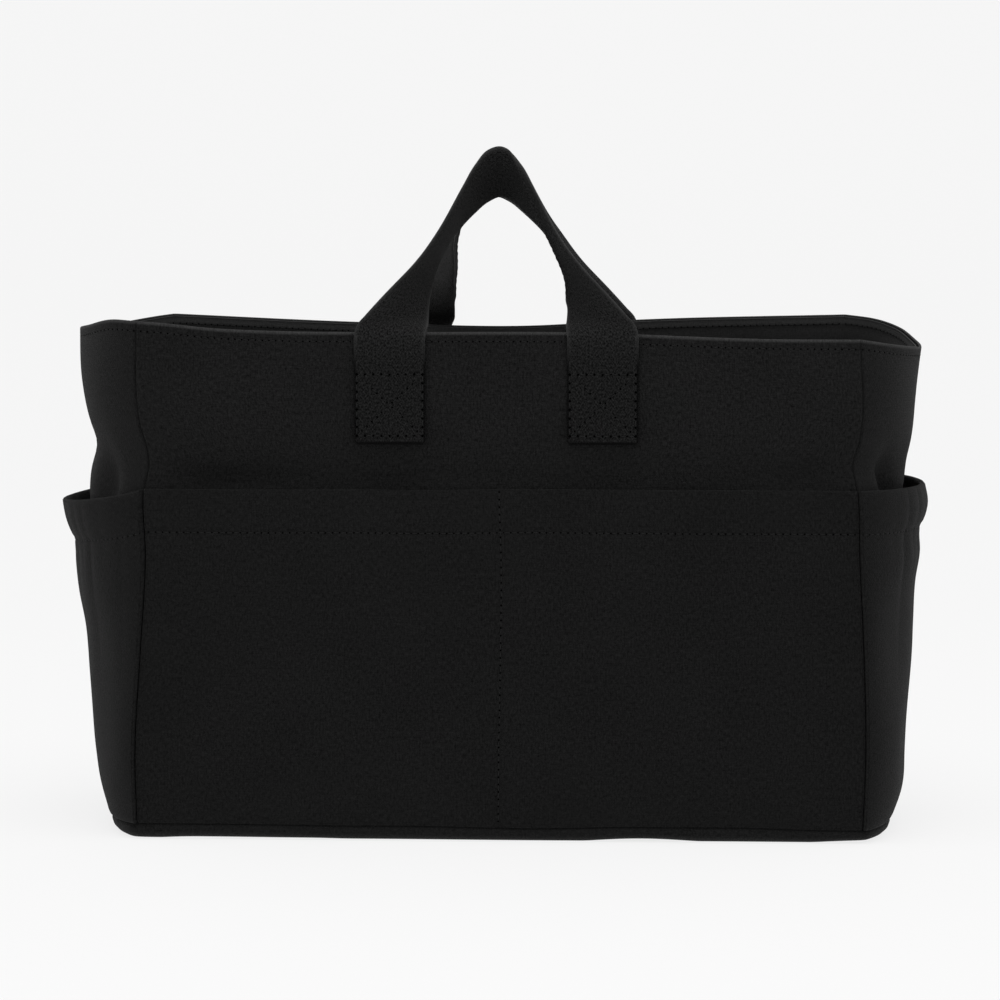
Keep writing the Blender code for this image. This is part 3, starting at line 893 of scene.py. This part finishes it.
def handle_loop(side):
    """The free strap above the split."""
    first, second, along = strap_line()
    centre_z = (first[:, 2] + second[:, 2]) / 2
    keep = centre_z >= SPLIT_Z - 1e-7
    total = along[-1]
    first, second, along = first[keep], second[keep], along[keep]

    def sculpt(u, at):
        return strap_crease(u, along[:, None], total)

    run = PATCH_HIGH + np.minimum(along, total - along)
    made = ribbon(f"strap_{side[0]}_loop", turned_round(first, side), turned_round(second, side), run,
                  np.full(len(along), WEB), sculpt, 30)
    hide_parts(f"handle_{side[0]}_loop")
    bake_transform(made)


def handle_leg(side, label, sign):
    """A sewn end, folded under and flat on the canvas, and the strap up to just below the rim."""
    step = 0.0008
    fold_up = np.array([0, 0.0002, 0.0006, 0.0012, 0.0020])
    patch_z = np.concatenate([PATCH_LOW + fold_up, np.arange(PATCH_LOW + 0.0028, PATCH_HIGH - 0.0003, step),
                              [PATCH_HIGH - 0.0002]])
    patch_thickness = np.interp(patch_z - PATCH_LOW, fold_up, [0.0008, 0.0017, 0.0024, 0.0028, PATCH])
    patch_y = -HALF_DEPTH - (PATCH_OUT - PATCH / 2)
    line_first, line_second, line_along = strap_line(step)
    centre_z = (line_first[:, 2] + line_second[:, 2]) / 2
    low_half = line_along < line_along[-1] / 2
    upper = low_half & (centre_z <= SPLIT_Z + 1e-7) & (centre_z >= PATCH_HIGH + 0.0004)
    patch_x = -HANDLE_X - WEB_WIDTH / 2
    patch_first = np.stack(np.broadcast_arrays(patch_x, patch_y, patch_z), -1)
    patch_second = patch_first + (WEB_WIDTH, 0, 0)
    corner = 0.0011 * (1 - ease(patch_z, PATCH_LOW, PATCH_LOW + 0.0016))
    patch_first[:, 0] += corner
    patch_second[:, 0] -= corner
    first = np.concatenate([patch_first, line_first[upper]])
    second = np.concatenate([patch_second, line_second[upper]])
    thickness = np.concatenate([patch_thickness, np.full(upper.sum(), WEB)])
    along = np.concatenate([patch_z, centre_z[upper]])

    def sculpt(u, at):
        across_patch = (u - 0.5) * WEB_WIDTH
        up_patch = at - BOX_Z
        inside = 1 - ease(at, PATCH_HIGH, PATCH_HIGH + 0.002)
        box = np.maximum(np.abs(across_patch) - BOX_HALF_WIDTH, np.abs(up_patch) - BOX_HALF_HEIGHT)
        slanted = up_patch * BOX_HALF_WIDTH / BOX_HALF_HEIGHT
        crossing = np.minimum(np.abs(across_patch - slanted), np.abs(across_patch + slanted)) * 0.7
        lines = np.minimum(np.abs(box), crossing + 10 * (box > 0.0006))
        puff = 0.00030 * ripple(across_patch, up_patch, 0.0018, 91)
        return (puff - 0.00042 * np.exp(-(lines / 0.0010) ** 2)) * inside

    if (sign > 0) == (side is FRONT):
        mirror = np.array([-1.0, 1.0, 1.0])
        first, second = second * mirror, first * mirror
    first, second = turned_round(first, side), turned_round(second, side)
    made = ribbon(f"strap_{side[0]}_{label}_leg", first, second, along, thickness, sculpt, 60)
    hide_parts(f"handle_{side[0]}_{label}_end", f"handle_{side[0]}_{label}_leg")
    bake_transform(made)


# ---- stitches

RING_AT = np.array([-0.5, -0.38, 0.0, 0.38, 0.5])
RING_SIZE = np.array([0.35, 0.85, 1.0, 0.85, 0.35])
RING_SINK = np.array([1.0, 0.45, 0.0, 0.45, 1.0])
STITCH_SIDES = 6


def add_stitch(points, faces, here, way, into, length, radius):
    """One thread capsule along `way`, its ends sinking into the cloth."""
    sideways = np.cross(way, into)
    start = len(points)
    for at, size, sink in zip(RING_AT, RING_SIZE, RING_SINK):
        centre = here + way * at * length + into * sink * radius * 0.9
        for j in range(STITCH_SIDES):
            a = 2 * math.pi * j / STITCH_SIDES
            points.append(centre + radius * size * (sideways * math.cos(a) + into * math.sin(a)))
    for k in range(len(RING_AT) - 1):
        for j in range(STITCH_SIDES):
            a = start + k * STITCH_SIDES + j
            b = start + k * STITCH_SIDES + (j + 1) % STITCH_SIDES
            faces.append((a, b, b + STITCH_SIDES, a + STITCH_SIDES))
    faces.append(tuple(start + j for j in reversed(range(STITCH_SIDES))))
    last = start + (len(RING_AT) - 1) * STITCH_SIDES
    faces.append(tuple(last + j for j in range(STITCH_SIDES)))


def add_hole(points, faces, here, way, into, radius):
    """One needle hole: a dark lens of painted shade for its shadowed pit, that lies just in the cloth's
    face.
    """
    sideways = np.cross(way, into)
    start = len(points)
    points += [here - into * radius * 0.30, here + into * radius * 0.5]
    for j in range(8):
        a = 2 * math.pi * j / 8
        points.append(here + radius * (way * math.cos(a) * 0.8 + sideways * math.sin(a)))
    for j in range(8):
        a, b = start + 2 + j, start + 2 + (j + 1) % 8
        faces.append((start, b, a))
        faces.append((start + 1, a, b))


def stitches(name, lines, kind, inward, hole=HOLE_RADIUS, nodes=()):
    """Separate stitches along lines of points. inward(point) is the unit way into the cloth."""
    pitch, length, radius = kind
    points, faces, hole_points, hole_faces = [], [], [], []
    for line in lines:
        line = np.asarray(line)
        run = length_along(line)
        count = max(1, int(run[-1] / pitch))

        def spot(at):
            return np.array([np.interp(at, run, line[:, k]) for k in range(3)])

        for i in range(2 * count + 1):
            middle = i * run[-1] / count / 2
            here = spot(middle)
            way = spot(middle + length / 2) - spot(middle - length / 2)
            way /= np.linalg.norm(way)
            into = inward(here)
            into = into - way * (into @ way)
            into /= np.linalg.norm(into)
            if i % 2:
                add_stitch(points, faces, here, way, into, length, radius)
            else:
                add_hole(hole_points, hole_faces, here, way, into, hole)
    thread_faces = len(faces)
    faces += [tuple(i + len(points) for i in face) for face in hole_faces]
    made = mesh_object(name, points + hole_points, faces, THREAD)
    made.data.materials.append(HOLE_SHADE)
    turn_out(made)
    index = np.zeros(len(faces), np.int32)
    index[thread_faces:] = 1
    made.data.polygons.foreach_set("material_index", index)
    return on_bag(made, "thread", *nodes)


def wall_inward(side):
    """Into the cloth of a wall, near enough for a stitch."""
    def way(point):
        if side in (FRONT, BACK):
            return np.array([0.0, -side[1], 0.0])
        slope = -2 * 0.036 * (point[1] / HALF_DEPTH) / HALF_DEPTH
        normal = np.array([side[1], -slope, 0.0])
        return -normal / np.linalg.norm(normal)

    return way


def wall_outward(side):
    inward = wall_inward(side)
    return lambda point: -inward(point)


def row(place, drop, out):
    """A level line of points along a wall."""
    s = np.linspace(-0.985, 0.985, 160)
    return place(s, np.full(len(s), drop), np.full(len(s), out))


def rim_stitches(side):
    """The topstitch under the rim, outside and inside."""
    outside = row(wall_place(side), RIM_STITCH_DROP, -0.0001)
    nodes = ["rim_topstitch"] if side is FRONT else []
    stitches(f"rim_stitches_{side[0]}", [outside], RIM_STITCH, wall_inward(side), nodes=nodes)
    inside = row(wall_place(side, False), RIM_STITCH_DROP, -0.0034)
    stitches(f"rim_stitches_inside_{side[0]}", [inside], RIM_STITCH_INSIDE, wall_outward(side))


def divider_stitches(side):
    drops = np.linspace(0.0015, POCKET_DROP - 0.004, 120)
    line = face_pocket_place(side)(np.zeros(120), drops, np.full(120, 0.0024))
    stitches(f"divider_stitches_{side[0]}", [line], DIVIDER_STITCH, wall_inward(side),
             nodes=[f"divider_stitch_{side[0]}"])


def box_stitches(side, label, sign):
    """The box and the cross sewn through a handle end."""
    y = side[1] * (HALF_DEPTH + PATCH_OUT - 0.0003)
    x = sign * HANDLE_X
    corners = [np.array([x + a * BOX_HALF_WIDTH, y, BOX_Z + b * BOX_HALF_HEIGHT])
               for a, b in ((-1, -1), (1, -1), (1, 1), (-1, 1))]
    box = [np.array([corners[i], corners[(i + 1) % 4]]) for i in range(4)]
    stitches(f"box_stitches_{side[0]}_{label}", box, BOX_STITCH, wall_inward(side), BOX_HOLE_RADIUS,
             [f"box_stitch_{side[0]}_{label}"])
    cross = [np.array([corners[i], corners[i + 2]]) for i in range(2)]
    stitches(f"cross_stitches_{side[0]}_{label}", cross, CROSS_STITCH, wall_inward(side), CROSS_HOLE_RADIUS)


def all_stitches():
    for side in (FRONT, RIGHT, BACK, LEFT):
        rim_stitches(side)
    for side in (FRONT, BACK):
        hem = row(face_pocket_place(side), HEM_STITCH_DROP, 0.0024)
        stitches(f"hem_stitches_{side[0]}", [hem], HEM_STITCH, wall_inward(side))
        divider_stitches(side)
        for label, sign in (("left", -1), ("right", 1)):
            box_stitches(side, label, sign)
    for side in (LEFT, RIGHT):
        hem = row(end_pocket_place(side), HEM_STITCH_DROP, 0.0042)
        stitches(f"hem_stitches_{side[0]}", [hem], HEM_STITCH, wall_inward(side))


# ---- put together

def backing_tape(side, label, sign):
    """A patch of stiff tape behind a sewn handle end."""
    half = (WEB_WIDTH + 0.008) / 2
    middle = sign * HANDLE_X / SEAM_HALF
    s = np.linspace(middle - half / SEAM_HALF, middle + half / SEAM_HALF, 14)
    low, high = PATCH_LOW - 0.004, PATCH_HIGH + 0.004
    profile = path([(RIM_Z - low, -0.0013), (RIM_Z - high, -0.0013)], 0.004)
    made = cloth(f"tape_{side[0]}_{label}", wall_place(side, False), profile, TAPE_THICK, s,
                 2 * SEAM_HALF, TAPE)
    return on_bag(made, "backing", f"backing_{side[0]}_{label}")


def bag():
    walls = ((FRONT, "panel_front"), (BACK, "panel_back"), (LEFT, "gusset_left"), (RIGHT, "gusset_right"))
    for side, node in walls:
        canvas_wall(side, node)
        lining_wall(side)
    for side in (FRONT, BACK):
        felt(side)
        made = pocket(side, face_pocket_place(side), 130, 0.0023, 0.0018)
        for label, sign in (("left", -1), ("right", 1)):
            backing_tape(side, label, sign)
            handle_leg(side, label, sign)
        handle_loop(side)
    for side in (LEFT, RIGHT):
        made = pocket(side, end_pocket_place(side), 150, 0.0042, 0.0030)
        elastic_band(side)
    base_cloth()
    lining_floor()
    all_stitches()
    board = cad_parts["base_board"]
    board.data.materials.clear()
    board.data.materials.append(BOARD)


# ---- stage

def stage():
    """Pale paper that sweeps up behind the bag, and soft lamps."""
    made = bpy.data.materials.new("studio_paper")
    made.use_nodes = True
    fill(made.node_tree.nodes["Principled BSDF"], Base_Color=grey(0.17), Roughness=1.0,
         Specular_IOR_Level=0.0, Emission_Color=grey(1.0), Emission_Strength=0.79)
    sweep = ((-9.0, 0.0), (1.2, 0.0), (1.7, 0.06), (2.1, 0.25), (2.35, 0.6), (2.45, 1.1), (2.45, 4.0))
    points = [(x, y, z) for y, z in sweep for x in (-9.0, 9.0)]
    faces = [(2 * i, 2 * i + 1, 2 * i + 3, 2 * i + 2) for i in range(len(sweep) - 1)]
    mesh_object("studio_paper", points, faces, made)

    world = bpy.data.worlds.new("studio")
    bpy.context.scene.world = world
    world.use_nodes = True
    fill(world.node_tree.nodes["Background"], Color=grey(1.0), Strength=0.50)

    def lamp(name, place, aim, size, power):
        data = bpy.data.lights.new(name, "AREA")
        data.shape = "RECTANGLE"
        data.size, data.size_y = size
        data.energy = power
        obj = bpy.data.objects.new(name, data)
        obj.location = place
        obj.rotation_mode = "QUATERNION"
        obj.rotation_quaternion = (Vector(aim) - Vector(place)).to_track_quat("-Z", "Y")
        bpy.context.scene.collection.objects.link(obj)

    lamp("key_overhead", (0.1, -0.5, 1.9), (0, 0, 0.1), (1.6, 1.2), 16)
    lamp("left_wall", (-1.5, -0.1, 0.7), (0, 0, 0.15), (1.0, 1.4), 0.6)
    lamp("right_wall", (1.5, -0.1, 0.7), (0, 0, 0.15), (1.0, 1.4), 0.25)
    lamp("front_fill", (0.0, -2.4, 0.75), (0, 0, 0.15), (2.0, 1.0), 10)


def camera():
    """Nearly level, a little to the right of the middle."""
    azimuth, elevation, distance = math.radians(2.5), math.radians(4.6), 1.95
    target = Vector((0.002, -HALF_DEPTH, 0.1840))
    level = math.cos(elevation)
    back = Vector((math.sin(azimuth) * level, -math.cos(azimuth) * level, math.sin(elevation)))
    data = bpy.data.cameras.new("camera")
    data.sensor_width = 36
    data.lens = 36 * distance / 0.5335
    obj = bpy.data.objects.new("camera", data)
    obj.location = target + back * distance
    obj.rotation_mode = "QUATERNION"
    obj.rotation_quaternion = (-back).to_track_quat("-Z", "Y")
    bpy.context.scene.collection.objects.link(obj)
    bpy.context.scene.camera = obj


camera()
stage()
bag()
bpy.context.scene.view_settings.view_transform = "Standard"
